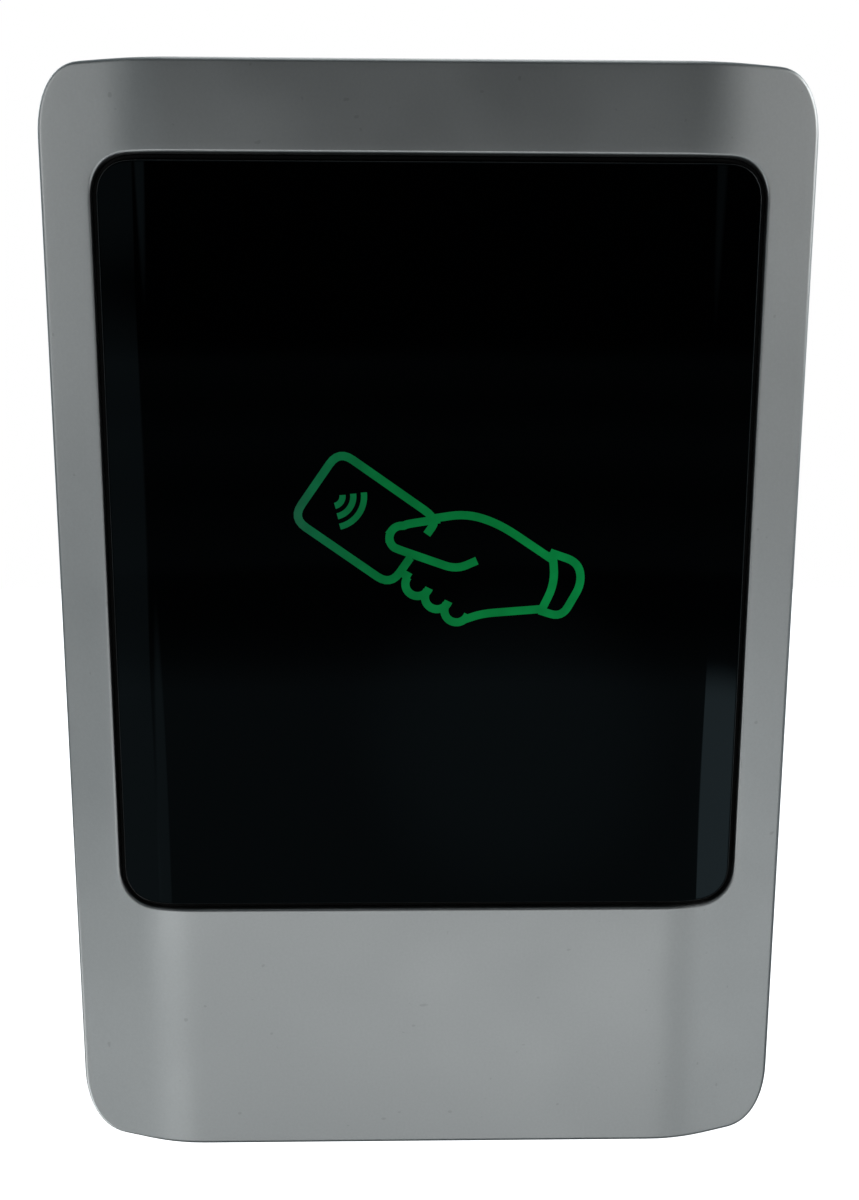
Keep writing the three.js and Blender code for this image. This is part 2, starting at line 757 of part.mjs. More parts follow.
// At rest the cam points forwards, unlocked. Turned by a quarter it lies in front of the lip.
function lockCam() {
  const [x, y] = LOCK_AT;
  const [reach, halfW] = [22, 3.5];
  const hole = LOCK.squareHalf + 0.25;
  return cut(
    join(
      bar("z", 7, CAM_Z[0], CAM_Z[1], LOCK_AT, 20),
      box([x - halfW, y - reach, CAM_Z[0]], [x + halfW, y, CAM_Z[1]]),
    ),
    box([x - hole, y - hole, CAM_Z[0] - 1], [x + hole, y + hole, CAM_Z[1] + 1]),
    box([x - 10, y + halfW, CAM_Z[0] - 1], [x + 10, y + 10, CAM_Z[1] + 1]),
  );
}

function camScrew() {
  const seat = CAM_Z[1] + 0.2;
  return cut(
    join(
      bar("z", 5, seat, seat + 2.4, LOCK_AT, 6),
      bar("z", SCREW_R, seat - 7, seat + 1, LOCK_AT, 10),
    ),
    bar("z", 2, seat + 1.4, seat + 3, LOCK_AT, 12),
  );
}

// ---- Base: tamper switch and earth stud ----

const SWITCH = { half: 6, frontY: -22, bracketT: 1.5 };

function tamperSwitch() {
  const [x, z] = TAMPER_AT;
  const { half, frontY } = SWITCH;
  const back = HOUSING_FLOOR_Y - CLEAR;
  return cut(
    box([x - half, frontY, z - half], [x + half, back, z + half]),
    bar("y", 2.5, frontY - 1, back - 2, TAMPER_AT, 16),
  );
}

function tamperPlunger() {
  const tip = TAMPER_PEG_END_Y + CLEAR;
  return join(
    bar("y", 1.4, tip, tip + 1.2, TAMPER_AT, 16, 2.1),
    bar("y", 2.1, tip + 1.2, SWITCH.frontY + 10, TAMPER_AT, 16),
  );
}

function tamperBracket() {
  const [x, z] = TAMPER_AT;
  const { half, frontY, bracketT } = SWITCH;
  const left = x + half + CLEAR;
  const back = HOUSING_FLOOR_Y - CLEAR;
  return join(
    box([left, frontY, z - half], [left + bracketT, back, z + half]),
    box([left, back - bracketT, z - half], [left + 12, back, z + half]),
  );
}

function earthStud() {
  const seat = HOUSING_FLOOR_Y - CLEAR;
  return join(
    bar("y", 5, seat, seat - 1.5, EARTH_AT, 20),
    bar("y", 2.5, seat - 1, seat - 14, EARTH_AT, 16),
  );
}

function earthNut() {
  const seat = HOUSING_FLOOR_Y - 2 * CLEAR - 1.5;
  return cut(
    bar("y", 4.6, seat, seat - 4, EARTH_AT, 6),
    bar("y", 2.7, seat + 1, seat - 5, EARTH_AT, 16),
  );
}

// ---- The assembly ----

const model = new THREE.Group();

function piece(name, body, finish) {
  const { vertProperties, triVerts } = body.getMesh();
  const geometry = new THREE.BufferGeometry();
  geometry.setAttribute("position", new THREE.BufferAttribute(vertProperties, 3));
  geometry.setIndex(new THREE.BufferAttribute(triVerts, 1));
  geometry.computeVertexNormals();
  const mesh = new THREE.Mesh(geometry, finish.clone());
  mesh.name = name;
  model.add(mesh);
}

function repeated(name, places, make, finish) {
  places.forEach((at, i) => piece(`${name}_${i + 1}`, make(at), finish));
}

piece("front_casing", frontCasing(), satinMetal);
piece("front_panel", frontPanel(), blackPanel);
piece("panel_seal", panelSeal(), blackRubber);
piece("card_pictogram", cardPictogram(), litGreen);
piece("light_guide", readerPiece(...LIGHT_GUIDE.half, LIGHT_GUIDE.y), opalPlastic);
piece("led_board", ledBoard(), circuitBoard);
piece("antenna_board", antennaBoard(), circuitBoard);
piece("ferrite_sheet", ferriteSheet(), darkCoat);
piece("carrier_frame", carrierFrame(), zincSteel);
repeated("carrier_screw", CARRIER_SCREWS, carrierScrew, screwSteel);
piece("board_tray", boardTray(), zincSteel);
repeated("tray_screw", TRAY_SCREWS, trayScrew, screwSteel);
piece("main_board", mainBoard(), circuitBoard);
repeated("board_screw", BOARD_SCREWS, boardScrew, screwSteel);
piece("modem_module", modemModule(), nickel);
piece("backup_cell", backupCell(), nickel);
piece("terminal_block", terminalBlock(), blackPlastic);
piece("network_jack", networkJack(), nickel);
piece("buzzer", buzzer(), blackPlastic);
piece("lock_strike", lockStrike(), zincSteel);
repeated("strike_screw", STRIKE_SCREW_AT, strikeScrew, screwSteel);
repeated("cover_hinge_leaf", HINGE.xs, coverHingeLeaf, satinMetal);

piece("wall_plate", wallPlate(), zincSteel);
piece("rear_housing", rearHousing(), darkCoat);
piece("housing_seal", housingSeal(), blackRubber);
repeated("housing_screw", HOUSING_SCREWS, housingScrew, screwSteel);
repeated("base_hinge_leaf", HINGE.xs, baseHingeLeaf, zincSteel);
repeated("hinge_pin", HINGE.xs, hingePin, screwSteel);
piece("gland_body", glandBody(), blackPlastic);
piece("gland_nut", glandNut(), blackPlastic);
piece("gland_cap", glandCap(), blackPlastic);
piece("vent_plug", ventPlug(), blackPlastic);
piece("lock_barrel", lockBarrel(), nickel);
piece("lock_nut", lockNut(), nickel);
piece("lock_plug", lockPlug(), nickel);
piece("lock_cam", lockCam(), zincSteel);
piece("cam_screw", camScrew(), screwSteel);
piece("tamper_switch", tamperSwitch(), blackPlastic);
piece("tamper_bracket", tamperBracket(), zincSteel);
piece("tamper_plunger", tamperPlunger(), opalPlastic);
piece("earth_stud", earthStud(), brass);
piece("earth_nut", earthNut(), brass);

export default model;
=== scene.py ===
"""Ticket validator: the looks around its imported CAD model.

Lengths are metres, in the model's frame: +Z is up and the front looks along -Y. The outer sizes follow the
model's own boxes.
"""

import json
import math
import random

import bmesh
import bpy
from mathutils import Matrix, Vector


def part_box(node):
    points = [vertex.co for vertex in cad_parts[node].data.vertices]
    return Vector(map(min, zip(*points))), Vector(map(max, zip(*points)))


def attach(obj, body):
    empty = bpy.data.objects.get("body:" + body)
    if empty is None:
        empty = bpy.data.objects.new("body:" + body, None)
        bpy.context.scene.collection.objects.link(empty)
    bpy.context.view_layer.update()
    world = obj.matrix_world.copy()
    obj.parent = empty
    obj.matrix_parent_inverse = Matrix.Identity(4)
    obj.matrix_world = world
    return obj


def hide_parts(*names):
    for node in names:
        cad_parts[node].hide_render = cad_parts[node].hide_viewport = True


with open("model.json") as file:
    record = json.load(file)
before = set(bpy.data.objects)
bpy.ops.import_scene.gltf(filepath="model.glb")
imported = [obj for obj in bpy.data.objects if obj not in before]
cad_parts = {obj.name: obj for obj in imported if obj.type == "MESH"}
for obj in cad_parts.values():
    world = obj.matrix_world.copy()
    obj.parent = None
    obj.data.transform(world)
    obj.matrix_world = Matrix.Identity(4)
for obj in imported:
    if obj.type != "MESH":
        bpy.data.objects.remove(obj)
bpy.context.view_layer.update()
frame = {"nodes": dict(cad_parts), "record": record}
MM = 0.001

# ---- The object's measures, from the frame ----

casing_low, casing_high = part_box("front_casing")
panel_low, panel_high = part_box("front_panel")
housing_low, housing_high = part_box("rear_housing")
FACE_Y = casing_low.y
CASING_END_Y = casing_high.y
FLAT_HALF = 67 * MM  # the face is flat between its two folds
FOLD = math.tan(math.radians(19))  # how fast the face falls back beyond a fold
CORNER_POWER = 2.3  # 2 is an ellipse, and more is squarer
WALL = 2.5 * MM
PANEL_GAP = 1.6 * MM
HOUSING_INSET = 5 * MM  # how far the rear tub lies inside the casing's outline


class Outline:
    """A rounded rectangle about x = 0, whose corners are superellipses."""

    def __init__(self, half_w, top, bottom, corner_x, corner_z):
        self.half_w, self.top, self.bottom = half_w, top, bottom
        self.corner_x, self.corner_z = corner_x, corner_z

    def grown(self, margin):
        return Outline(
            self.half_w + margin,
            self.top + margin,
            self.bottom - margin,
            self.corner_x + margin,
            self.corner_z + margin,
        )

    def towards(self, other, t):
        pairs = zip(vars(self).values(), vars(other).values())
        return Outline(*(a + (b - a) * t for a, b in pairs))


FACE = Outline(casing_high.x, casing_high.z, casing_low.z, 11.5 * MM, 17 * MM)
PANEL = Outline(panel_high.x, panel_high.z, panel_low.z, 8.4 * MM, 8.4 * MM)
WINDOW = PANEL.grown(PANEL_GAP)
HOUSING = Outline(
    casing_high.x - HOUSING_INSET,
    casing_high.z - HOUSING_INSET,
    casing_low.z + HOUSING_INSET,
    8 * MM,
    12 * MM,
)


def folded(x, soft):
    """How far behind the flat middle the face lies at x, with a bend of a given half width."""
    out = abs(x) - FLAT_HALF
    if out >= soft:
        return out * FOLD
    if out <= -soft:
        return 0.0
    return (out + soft) ** 2 / (4 * soft) * FOLD


def middle_of(node):
    low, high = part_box(node)
    return (low + high) / 2


# ---- Mesh helpers ----


def new_piece(name, verts, faces, body, slot, *nodes, cutters=()):
    """A piece from a closed surface, with holes where cutters are given."""
    obj = mesh_object(name, verts, faces)
    if cutters:
        carve(obj, cutters)
    return dress(obj, body, slot, *nodes)


def mesh_object(name, verts, faces):
    mesh = bpy.data.meshes.new(name)
    mesh.from_pydata([tuple(v) for v in verts], [], faces)
    mesh.validate()
    obj = bpy.data.objects.new(name, mesh)
    bpy.context.scene.collection.objects.link(obj)
    return obj


def dress(obj, body, slot, *nodes, sharp=32):
    """Shades a finished piece, gives it its slot's material and puts it on its body."""
    soften(obj.data, sharp)
    weigh = obj.modifiers.new("normals", "WEIGHTED_NORMAL")
    weigh.keep_sharp = True
    apply_modifiers(obj)
    obj.data.materials.clear()
    obj.data.materials.append(SLOT_MATERIALS[slot])
    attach(obj, body)
    if nodes:
        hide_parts(*nodes)
    return obj


def soften(mesh, sharp):
    """Smooth shading, but for edges sharper than an angle in degrees."""
    bm = bmesh.new()
    bm.from_mesh(mesh)
    bmesh.ops.recalc_face_normals(bm, faces=bm.faces)
    for edge in bm.edges:
        edge.smooth = edge.is_manifold and edge.calc_face_angle(0) < math.radians(sharp)
    for face in bm.faces:
        face.smooth = True
    bm.to_mesh(mesh)
    bm.free()


CORNER_STEPS = 14
SIDE_STEPS = 16
# Places across a fold, in millimetres. They stay inside 70, where the window's rounded corner starts.
FOLD_XS = [57, 59, 61, 62.5, 63.5, 64.5, 65.5, 66.25, 67, 67.75, 68.5, 69.25]


def top_xs(end):
    """Places along a top or bottom edge, close together where the face is folded."""
    right = [i * 6 * MM for i in range(9)] + [x * MM for x in FOLD_XS]
    right += [right[-1] + (end - right[-1]) * t for t in (0.2, 0.45, 0.7, 1.0)]
    return [-x for x in reversed(right[1:])] + right


def ring(outline, y, soft=None):
    """Points round an outline, clockwise from the top left as seen from the front. With a soft width they
    follow the folded face, and without one they lie in a plane."""
    o = outline
    corner = []
    for i in range(1, CORNER_STEPS):
        turn = i / CORNER_STEPS * math.pi / 2
        across = math.sin(turn) ** (2 / CORNER_POWER)
        down = math.cos(turn) ** (2 / CORNER_POWER)
        corner.append((o.half_w - o.corner_x * (1 - across), o.corner_z * (1 - down)))
    span = o.bottom - o.top + 2 * o.corner_z
    sides = [o.top - o.corner_z + span * i / SIDE_STEPS for i in range(SIDE_STEPS + 1)]
    xs = top_xs(o.half_w - o.corner_x)
    points = [(x, o.top) for x in xs]
    points += [(x, o.top - drop) for x, drop in corner]
    points += [(o.half_w, z) for z in sides]
    points += [(x, o.bottom + drop) for x, drop in reversed(corner)]
    points += [(x, o.bottom) for x in reversed(xs)]
    points += [(-x, o.bottom + drop) for x, drop in corner]
    points += [(-o.half_w, z) for z in reversed(sides)]
    points += [(-x, o.top - drop) for x, drop in reversed(corner)]
    return [Vector((x, y + (folded(x, soft) if soft else 0), z)) for x, z in points]


TOP_COUNT = len(top_xs(1))


def cap(start, flip):
    """Faces that close one ring with upright strips, and its four corners with a fan."""
    size = len(ring(FACE, 0))
    upper = list(range(-(CORNER_STEPS - 1), TOP_COUNT + CORNER_STEPS - 1))
    lower_first = TOP_COUNT + (CORNER_STEPS - 1) + (SIDE_STEPS + 1)
    lower_last = lower_first + 2 * (CORNER_STEPS - 1) + TOP_COUNT - 1
    faces = []
    for k in range(len(upper) - 1):
        face = [upper[k] % size, upper[k + 1] % size, lower_last - k - 1, lower_last - k]
        faces.append([start + i for i in (face if flip else reversed(face))])
    right = list(range(TOP_COUNT + CORNER_STEPS - 2, lower_first + 1))
    left = list(range(lower_last, size - CORNER_STEPS + 2))
    for chain in (right, left):
        faces.append([start + i % size for i in (chain if flip else reversed(chain))])
    return faces


def band(here, there, size):
    """Faces between two closed rings of points that start at these places."""
    faces = []
    for j in range(size):
        n = (j + 1) % size
        faces.append((here + j, here + n, there + n, there + j))
    return faces


def loft(rings, closed=False, cap_first=False, cap_last=False):
    """Faces through rings of equal length, as (verts, faces)."""
    size = len(rings[0])
    verts = [point for points in rings for point in points]
    faces = []
    count = len(rings)
    for k in range(count if closed else count - 1):
        faces += band(k * size, (k + 1) % count * size, size)
    if cap_first:
        faces += cap(0, True)
    if cap_last:
        faces += cap((count - 1) * size, False)
    return verts, faces


def quarter(steps):
    """(inset share, depth share) round a quarter circle, from the side to the front."""
    turns = [i / steps * math.pi / 2 for i in range(steps + 1)]
    return [(1 - math.cos(t), 1 - math.sin(t)) for t in turns]


def apply_modifiers(obj):
    bpy.context.view_layer.update()
    shaped = obj.evaluated_get(bpy.context.evaluated_depsgraph_get())
    mesh = bpy.data.meshes.new_from_object(shaped)
    obj.modifiers.clear()
    obj.data = mesh


def carve(obj, solids):
    """Cuts closed (verts, faces) solids out of a piece."""
    cutter = mesh_object("cutter", *together(*solids))
    for part in (obj, cutter):
        face_outwards(part.data)
    cut = obj.modifiers.new("holes", "BOOLEAN")
    cut.operation = "DIFFERENCE"
    cut.solver = "MANIFOLD"
    cut.object = cutter
    apply_modifiers(obj)
    bpy.data.objects.remove(cutter)


def face_outwards(mesh):
    bm = bmesh.new()
    bm.from_mesh(mesh)
    bmesh.ops.recalc_face_normals(bm, faces=bm.faces)
    bm.to_mesh(mesh)
    bm.free()


def together(*solids):
    """Several (verts, faces) as one."""
    verts, faces = [], []
    for more_verts, more_faces in solids:
        faces += [tuple(len(verts) + i for i in face) for face in more_faces]
        verts += more_verts
    return verts, faces


def arc(centre, r, first, last, steps):
    """Points round a centre between two angles in degrees."""
    turns = [math.radians(first + (last - first) * i / steps) for i in range(steps + 1)]
    return [(centre[0] + r * math.cos(t), centre[1] + r * math.sin(t)) for t in turns]


def prism(rings):
    """A closed solid through equal rings of points, with a flat face at each end."""
    size = len(rings[0])
    verts = [point for points in rings for point in points]
    faces = [tuple(reversed(range(size))), tuple(range(len(verts) - size, len(verts)))]
    for start in range(0, len(verts) - size, size):
        faces += band(start, start + size, size)
    return verts, faces


def rod(start, end, r, sides=48):
    """A plain bar between two points, as a cutting tool."""
    start, end = Vector(start), Vector(end)
    across = (end - start).orthogonal().normalized()
    up = (end - start).normalized().cross(across)
    around = [across * (r * x) + up * (r * z) for x, z in arc((0, 0), 1, 0, 360 - 360 / sides, sides - 1)]
    return prism([[at + offset for offset in around] for at in (start, end)])


# ---- Materials ----


def shader(name, **sockets):
    """A Principled material with constant values on its own sockets."""
    material = bpy.data.materials.new(name)
    material.use_nodes = True
    tree = material.node_tree
    bsdf = tree.nodes["Principled BSDF"]
    for socket, value in sockets.items():
        bsdf.inputs[socket.replace("_", " ")].default_value = value
    return material, tree, bsdf


def add(tree, kind, **settings):
    """A node with some of its sockets or properties set."""
    node = tree.nodes.new(kind)
    for key, value in settings.items():
        socket = key.replace("_", " ")
        if socket in node.inputs:
            node.inputs[socket].default_value = value
        else:
            setattr(node, key, value)
    return node


def noise(tree, scale, detail=4.0, roughness=0.55, stretch=(1, 1, 1)):
    """A noise of the object's own coordinates. scale is in cycles per metre."""
    place = add(tree, "ShaderNodeTexCoord")
    mapping = add(tree, "ShaderNodeMapping", Scale=stretch)
    texture = add(tree, "ShaderNodeTexNoise", Scale=scale, Detail=detail, Roughness=roughness)
    tree.links.new(place.outputs["Object"], mapping.inputs["Vector"])
    tree.links.new(mapping.outputs["Vector"], texture.inputs["Vector"])
    return texture.outputs["Fac"]


def ramp(tree, value, stops):
    """A colour ramp of (place, grey or colour) stops."""
    node = add(tree, "ShaderNodeValToRGB")
    elements = node.color_ramp.elements
    while len(elements) < len(stops):
        elements.new(0.5)
    for element, (place, colour) in zip(elements, stops):
        element.position = place
        element.color = (*colour, 1) if isinstance(colour, tuple) else (colour, colour, colour, 1)
    tree.links.new(value, node.inputs["Fac"])
    return node.outputs["Color"]


def times(tree, first, second):
    node = add(tree, "ShaderNodeMix", data_type="RGBA", blend_type="MULTIPLY", Factor=1.0)
    tree.links.new(first, node.inputs["A"])
    tree.links.new(second, node.inputs["B"])
    return node.outputs["Result"]


def bumped(tree, bsdf, height, strength, distance):
    node = add(tree, "ShaderNodeBump", Strength=strength, Distance=distance)
    tree.links.new(height, node.inputs["Height"])
    tree.links.new(node.outputs["Normal"], bsdf.inputs["Normal"])


def finish(name, tones, rough, scale, detail=4.0, bump=0.0, depth=0.0, stretch=(1, 1, 1), **sockets):
    """A material whose tone and roughness vary with one noise, and whose surface is raised by it."""
    material, tree, bsdf = shader(name, **sockets)
    grain = noise(tree, scale, detail, stretch=stretch)
    tree.links.new(ramp(tree, grain, [(0.3, tones[0]), (0.7, tones[1])]), bsdf.inputs["Base Color"])
    tree.links.new(ramp(tree, grain, [(0.3, rough[0]), (0.7, rough[1])]), bsdf.inputs["Roughness"])
    if bump:
        bumped(tree, bsdf, grain, bump, depth)
    return material


def satin_metal():
    """Bead-blasted stainless steel: fine grain, faint cloudiness and a few tiny specks."""
    material, tree, bsdf = shader("satin_metal", Metallic=1.0)
    cloud = noise(tree, 22, detail=3)
    tone = ramp(tree, cloud, [(0.3, (0.54, 0.55, 0.55)), (0.7, (0.575, 0.585, 0.585))])
    grain = noise(tree, 1500, detail=3)
    mottle = ramp(tree, grain, [(0.3, 0.95), (0.7, 1.0)])
    specks = ramp(tree, noise(tree, 520, detail=0), [(0.0, 0.8), (0.135, 0.88), (0.155, 1.0)])
    tree.links.new(times(tree, times(tree, tone, mottle), specks), bsdf.inputs["Base Color"])
    tree.links.new(ramp(tree, cloud, [(0.3, 0.40), (0.7, 0.47)]), bsdf.inputs["Roughness"])
    bumped(tree, bsdf, grain, 0.07, 0.05 * MM)
    return material


def black_panel():
    """Gloss black, slightly uneven so that reflections waver, with a trace of handling."""
    material, tree, bsdf = shader("black_panel", Base_Color=(0.0006, 0.0008, 0.0011, 1), IOR=1.49)
    film = noise(tree, 35, detail=5, roughness=0.6)
    tree.links.new(ramp(tree, film, [(0.35, 0.02), (0.75, 0.06)]), bsdf.inputs["Roughness"])
    bumped(tree, bsdf, noise(tree, 16, detail=1), 0.1, 1.2 * MM)
    return material


def lit_green():
    """Green print lit from behind: dull and greyish at the card's lower left, brighter at the cuff."""
    material, tree, bsdf = shader("lit_green", Base_Color=(0.004, 0.03, 0.012, 1), Roughness=0.12)
    place = add(tree, "ShaderNodeTexCoord")
    split = add(tree, "ShaderNodeSeparateXYZ")
    tree.links.new(place.outputs["Object"], split.inputs["Vector"])
    span = add(tree, "ShaderNodeMapRange", From_Min=-36 * MM, From_Max=38 * MM)
    tree.links.new(split.outputs["X"], span.inputs["Value"])
    stops = [
        (0.0, (0.012, 0.060, 0.036)),
        (0.10, (0.004, 0.095, 0.036)),
        (0.35, (0.002, 0.125, 0.030)),
        (0.75, (0.002, 0.150, 0.032)),
        (1.0, (0.002, 0.185, 0.042)),
    ]
    glow = ramp(tree, span.outputs["Result"], stops)
    mottle = ramp(tree, noise(tree, 160, detail=2), [(0.3, 0.82), (0.7, 1.1)])
    tree.links.new(times(tree, glow, mottle), bsdf.inputs["Emission Color"])
    bsdf.inputs["Emission Strength"].default_value = 1.0
    return material


def circuit_board():
    """Green solder mask over copper tracks, with paler print and pads showing in a fine grid."""
    material, tree, bsdf = shader("circuit_board", IOR=1.5, Coat_Weight=0.4, Coat_Roughness=0.1)
    place = add(tree, "ShaderNodeTexCoord")
    tracks = add(tree, "ShaderNodeTexBrick", Scale=1.0, Mortar_Size=0.5 * MM, Mortar_Smooth=0.2)
    tracks.inputs["Brick Width"].default_value = 9 * MM
    tracks.inputs["Row Height"].default_value = 2.4 * MM
    tracks.inputs["Color1"].default_value = (0.008, 0.085, 0.028, 1)
    tracks.inputs["Color2"].default_value = (0.010, 0.100, 0.034, 1)
    tracks.inputs["Mortar"].default_value = (0.016, 0.150, 0.050, 1)
    mapping = add(tree, "ShaderNodeMapping", Rotation=(math.pi / 2, 0, 0))
    tree.links.new(place.outputs["Object"], mapping.inputs["Vector"])
    tree.links.new(mapping.outputs["Vector"], tracks.inputs["Vector"])
    mottle = ramp(tree, noise(tree, 90), [(0.3, 0.85), (0.7, 1.1)])
    tree.links.new(times(tree, tracks.outputs["Color"], mottle), bsdf.inputs["Base Color"])
    tree.links.new(ramp(tree, noise(tree, 300), [(0.3, 0.3), (0.7, 0.42)]), bsdf.inputs["Roughness"])
    return material


def plated(name, tones, rough):
    """Plated or turned metal with fine drawn lines along X."""
    return finish(
        name, tones, rough, 700, detail=2, bump=0.1, depth=0.03 * MM, stretch=(0.15, 1, 1), Metallic=1.0
    )


SLOT_MATERIALS = {
    "satin_metal": satin_metal(),
    "black_panel": black_panel(),
    "lit_green": lit_green(),
    "black_rubber": finish(
        "black_rubber", (0.003, 0.006), (0.7, 0.85), 900, 3, 0.3, 0.1 * MM, Specular_IOR_Level=0.15
    ),
    "dark_coat": finish("dark_coat", (0.028, 0.040), (0.5, 0.62), 800, 3, 0.5, 0.15 * MM),
    "ferrite": finish("ferrite", (0.035, 0.055), (0.7, 0.85), 500, 4, 0.2, 0.1 * MM),
    "zinc_steel": plated("zinc_steel", ((0.5, 0.51, 0.52), (0.64, 0.65, 0.65)), (0.3, 0.42)),
    "screw_steel": plated("screw_steel", ((0.55, 0.55, 0.56), (0.64, 0.64, 0.65)), (0.2, 0.3)),
    "nickel": plated("nickel", ((0.58, 0.56, 0.52), (0.68, 0.66, 0.62)), (0.14, 0.24)),
    "circuit_board": circuit_board(),
    "opal_plastic": finish("opal_plastic", (0.74, 0.80), (0.45, 0.55), 300, Subsurface_Weight=0.2),
    "black_plastic": finish("black_plastic", (0.012, 0.02), (0.42, 0.55), 1100, 3, 0.25, 0.08 * MM),
    "brass": plated("brass", ((0.55, 0.38, 0.12), (0.66, 0.47, 0.17)), (0.25, 0.36)),
}

# ---- Cover: casing, panel and seal ----


def casing():
    """The metal shell: walls, a soft front edge, the folded face, and a window with a rounded lip."""
    edge_r = 1.2 * MM
    lip_r = 0.8 * MM
    soft = 8 * MM
    inner = FACE.grown(-WALL)
    rings = [ring(FACE, CASING_END_Y)]
    for t in (0.35, 0.7):
        front = ring(FACE, FACE_Y + edge_r, soft)
        rings.append([a.lerp(b, t) for a, b in zip(rings[0], front)])
    for inset, depth in quarter(8):
        rings.append(ring(FACE.grown(-edge_r * inset), FACE_Y + edge_r * depth, soft))
    brim, lip = FACE.grown(-edge_r), WINDOW.grown(lip_r)
    rings += [ring(brim.towards(lip, t / 10), FACE_Y, soft) for t in range(1, 11)]
    for inset, depth in reversed(quarter(5)[:-1]):
        rings.append(ring(WINDOW.grown(lip_r * inset), FACE_Y + lip_r * depth, soft))
    rings.append(ring(WINDOW, FACE_Y + WALL, soft))
    rings += [ring(WINDOW.towards(inner, t / 4), FACE_Y + WALL, soft) for t in range(1, 5)]
    rings.append(ring(inner, CASING_END_Y))
    verts, faces = loft(rings, closed=True)
    slots = sound_slots()
    new_piece("casing_shell", verts, faces, "cover", "satin_metal", "front_casing", cutters=slots)


def sound_slots():
    """Cutters for five round-ended slots in the casing's floor, under the buzzer."""
    middle = middle_of("buzzer")
    half_w, half_l, pitch = 1.2 * MM, 6.8 * MM, 5 * MM
    slots = []
    for i in range(5):
        x = middle.x + (i - 2) * pitch
        outline = arc((x, middle.y + half_l), half_w, 0, 180, 8)
        outline += arc((x, middle.y - half_l), half_w, 180, 360, 8)
        depths = [casing_low.z - MM, casing_low.z + WALL + MM]
        slots.append(prism([[Vector((px, py, z)) for px, py in outline] for z in depths]))
    return slots


def panel():
    """The gloss panel: folded more sharply than the metal, with a small polished edge."""
    edge_r = 0.6 * MM
    soft = 2.6 * MM
    front, back = panel_low.y, panel_low.y + 4 * MM
    rings = [ring(PANEL, back, soft)]
    for inset, depth in quarter(5):
        rings.append(ring(PANEL.grown(-edge_r * inset), front + edge_r * depth, soft))
    verts, faces = loft(rings, cap_first=True, cap_last=True)
    return new_piece("gloss_panel", verts, faces, "cover", "black_panel", "front_panel")


def bosses():
    """Turned spacers with filleted feet, for the carrier frame's screws and the lock strike's."""
    solids = []
    face_inside = FACE_Y + WALL
    for i in range(1, 5):
        x, _, z = middle_of(f"carrier_screw_{i}")
        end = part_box("carrier_frame")[0].y - 0.3 * MM
        solids.append(spacer(Vector((x, face_inside - 0.2 * MM, z)), Vector((x, end, z))))
    floor_z = casing_low.z + WALL
    for i in (1, 2):
        x, y, _ = middle_of(f"strike_screw_{i}")
        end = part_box("lock_strike")[0].z - 0.3 * MM
        solids.append(spacer(Vector((x, y, floor_z - 0.2 * MM)), Vector((x, y, end))))
    new_piece("casing_bosses", *together(*solids), "cover", "satin_metal")


def spacer(foot, end, r=4 * MM, bore=1.7 * MM):
    """A bored spacer with a fillet at its foot and a chamfer at its end, as (verts, faces)."""
    length = (end - foot).length
    profile = [(0, bore), (0, r + 1.2 * MM), (0.5 * MM, r + 0.5 * MM), (1.2 * MM, r)]
    profile += [(length - 0.3 * MM, r), (length, r - 0.3 * MM), (length, bore)]
    return turned(profile, foot, end - foot)


def turned(profile, foot, axis, sides=32):
    """A bored shape turned about an axis, from (distance from the foot, radius) pairs."""
    along = axis.normalized()
    across = along.orthogonal().normalized()
    up = along.cross(across)
    verts = []
    for distance, radius in profile:
        for x, z in arc((0, 0), radius, 0, 360 - 360 / sides, sides - 1):
            verts.append(foot + along * distance + across * x + up * z)
    faces = []
    for k in range(len(profile)):
        faces += band(k * sides, (k + 1) % len(profile) * sides, sides)
    return verts, faces


def seal():
    """The rubber frame: a rounded lip in the gap round the panel, a pocket for its rim, and a flange."""
    # Each point is how far it stands outside the window's edge, and how far behind the face it lies.
    profile = [
        (-0.3, 1.9),
        (-0.45, 1.35),
        (-0.8, 1.15),
        (-1.15, 1.35),
        (-1.3, 1.9),
        (-1.3, 3.7),
        (-7.6, 3.7),
        (-7.6, 5.1),
        (4, 5.1),
        (4, 2.8),
        (-0.3, 2.8),
    ]
    rings = [ring(WINDOW.grown(out * MM), FACE_Y + depth * MM, 1.2 * MM) for out, depth in profile]
    verts, faces = loft(rings, closed=True)
    new_piece("seal_frame", verts, faces, "cover", "black_rubber", "panel_seal")


GLOSS_PANEL = panel()
casing()
bosses()
seal()

# ---- Cover: pictogram ----


def rounded(points, r, steps=6):
    """A path of [x, z] with every corner rounded by a curve that starts a length r before it."""
    path = [Vector(p) for p in points]
    out = [path[0]]
    for before, corner, after in zip(path, path[1:], path[2:]):
        reach_in = min(r, (corner - before).length / 2)
        reach_out = min(r, (after - corner).length / 2)
        start = corner + (before - corner).normalized() * reach_in
        end = corner + (after - corner).normalized() * reach_out
        for i in range(steps + 1):
            t = i / steps
            out.append(start * (1 - t) ** 2 + corner * 2 * t * (1 - t) + end * t * t)
    return out + [path[-1]]


